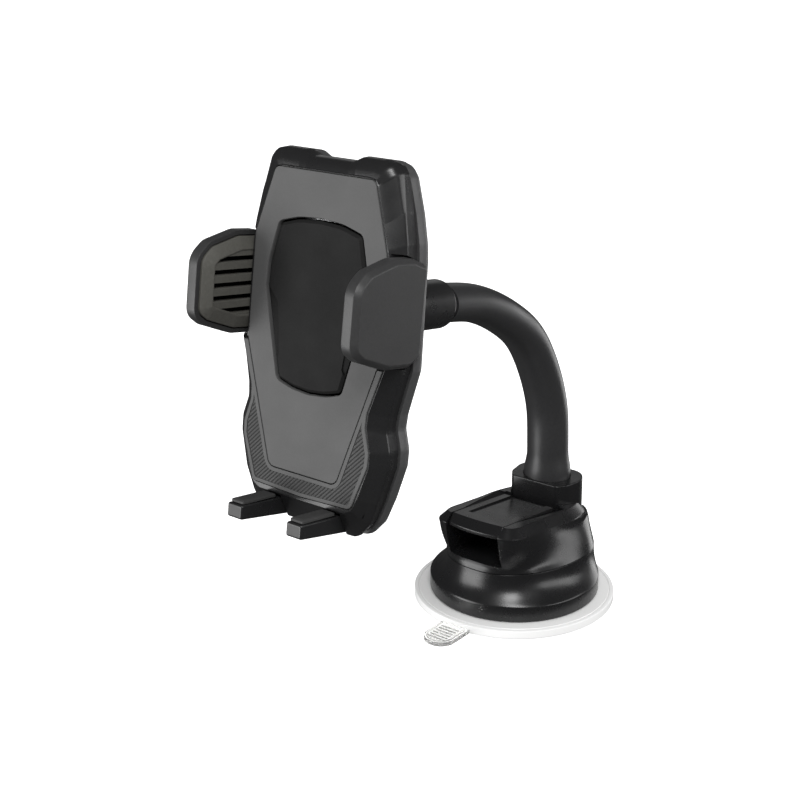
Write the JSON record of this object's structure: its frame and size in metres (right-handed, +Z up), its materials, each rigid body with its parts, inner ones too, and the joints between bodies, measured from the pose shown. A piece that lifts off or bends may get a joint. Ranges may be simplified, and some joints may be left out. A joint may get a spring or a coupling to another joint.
{
  "type": "car phone mount",
  "caption": "Phone mount with a lever-locked suction base, an arched bendable neck, a ball joint and a cradle with clamping arms and foot supports.",
  "frame": {"origin": "centre of the gel pad's underside, where the mount sticks to the dashboard", "axes": "+Z up, away from the surface that it sticks to; the cradle faces -Y; the outside is symmetric about the plane X = 0"},
  "size_m": [0.08, 0.1836, 0.1942],
  "materials": {
    "gel": "soft white gel",
    "clear_gel": "clear soft plastic",
    "black_base": "satin black",
    "neck_rubber": "satin soft-touch dark grey",
    "casing": "fine satin black",
    "back_casing": "fine satin dark grey",
    "plate_grey": "matt grey",
    "panel_dark": "matt dark grey",
    "arm_pad": "matt olive grey",
    "black_rubber": "matt black",
    "acetal": "natural acetal",
    "steel": "zinc plated"
  },
  "bodies": {
    "base": {"gel_pad": "gel", "pull_tab": "clear_gel", "membrane": "black_rubber", "suction_bell": "black_base", "base_housing": "black_base", "neck_collar": "black_base", "lever_pin": "steel", "stud_spring": "steel", "base_screw_1": "steel", "base_screw_2": "steel", "base_screw_3": "steel", "base_screw_4": "steel", "neck_root_plug": "acetal", "neck_core_lower": "steel", "neck_sleeve_lower": "neck_rubber"},
    "lever": {"lock_lever": "black_base"},
    "stud": {"pull_stud": "acetal", "stud_pin": "steel"},
    "neck_head": {"neck_core_upper": "steel", "neck_sleeve_upper": "neck_rubber", "neck_ferrule": "casing", "ball_stem": "steel"},
    "ball": {"ball": "acetal"},
    "liner": {"ball_liner": "acetal"},
    "cradle": {"front_seat": "acetal", "rear_seat": "acetal", "front_shell": "casing", "mid_band": "casing", "rear_shell": "back_casing", "shell_screw_1": "steel", "shell_screw_2": "steel", "shell_screw_3": "steel", "shell_screw_4": "steel", "face_plate": "plate_grey", "lower_trim": "plate_grey", "pinion_axle": "steel", "latch_pin": "steel", "trigger_spring_upper": "steel", "trigger_spring_lower": "steel"},
    "nut": {"clamp_nut": "casing"},
    "right_arm": {"right_rack": "casing", "right_arm_cap": "casing", "right_arm_pad": "arm_pad"},
    "left_arm": {"left_rack": "casing", "left_arm_cap": "casing", "left_arm_pad": "arm_pad"},
    "pinion": {"pinion": "acetal"},
    "trigger": {"centre_panel": "panel_dark"},
    "latch": {"latch_pawl": "acetal"},
    "feet": {"foot_bracket": "casing", "right_foot_pad": "black_rubber", "left_foot_pad": "black_rubber"}
  },
  "joints": [
    {"name": "lever_lift", "type": "hinge", "parent": "base", "child": "lever", "pos_m": [0, 0.0035, 0.0315], "axis": [-1, 0, 0], "range_deg": [0, 80]},
    {"name": "stud_slide", "type": "slide", "parent": "base", "child": "stud", "axis": [0, 0, -1], "range_m": [0, 0.0024], "deforming": ["stud_spring"]},
    {"name": "neck_bend", "type": "hinge", "parent": "base", "child": "neck_head", "pos_m": [0, 0.01173, 0.0965], "axis": [1, 0, 0], "range_deg": [-20, 15]},
    {"name": "ball_roll", "type": "hinge", "parent": "neck_head", "child": "ball", "pos_m": [0, -0.0901, 0.13903], "axis": [0, 0.9878, -0.1557], "continuous": true},
    {"name": "ball_tilt", "type": "hinge", "parent": "ball", "child": "liner", "pos_m": [0, -0.0901, 0.13903], "axis": [1, 0, 0], "range_deg": [-17, 17]},
    {"name": "ball_pan", "type": "hinge", "parent": "liner", "child": "cradle", "pos_m": [0, -0.0901, 0.13903], "axis": [0, 0.1557, 0.9878], "range_deg": [-17, 17]},
    {"name": "nut_turn", "type": "hinge", "parent": "cradle", "child": "nut", "pos_m": [0, -0.0901, 0.13903], "axis": [0, 0.9878, -0.1557], "range_deg": [0, 90]},
    {"name": "right_arm_slide", "type": "slide", "parent": "cradle", "child": "right_arm", "axis": [1, 0, 0], "range_m": [0, 0.017]},
    {"name": "left_arm_slide", "type": "slide", "parent": "cradle", "child": "left_arm", "axis": [-1, 0, 0], "range_m": [0, 0.017]},
    {"name": "pinion_turn", "type": "hinge", "parent": "cradle", "child": "pinion", "pos_m": [0, -0.10958, 0.14969], "axis": [0, -0.9878, 0.1557], "range_deg": [0, 163]},
    {"name": "trigger_press", "type": "slide", "parent": "cradle", "child": "trigger", "axis": [0, 0.9878, -0.1557], "range_m": [0, 0.0018], "stiffness_N_per_m": 300, "springref_m": -0.001},
    {"name": "latch_release", "type": "hinge", "parent": "cradle", "child": "latch", "pos_m": [0.01, -0.10697, 0.16558], "axis": [0, 0.9878, -0.1557], "range_deg": [0, 6.3]},
    {"name": "foot_slide", "type": "slide", "parent": "cradle", "child": "feet", "axis": [0, -0.1557, -0.9878], "range_m": [0, 0.012]}
  ],
  "couplings": [
    {"joint": "lever_lift", "follows": "stud_slide", "rad_per_m": 581.77},
    {"joint": "left_arm_slide", "follows": "right_arm_slide", "ratio": 1},
    {"joint": "pinion_turn", "follows": "right_arm_slide", "rad_per_m": 166.67},
    {"joint": "latch_release", "follows": "trigger_press", "rad_per_m": 58.178}
  ]
}
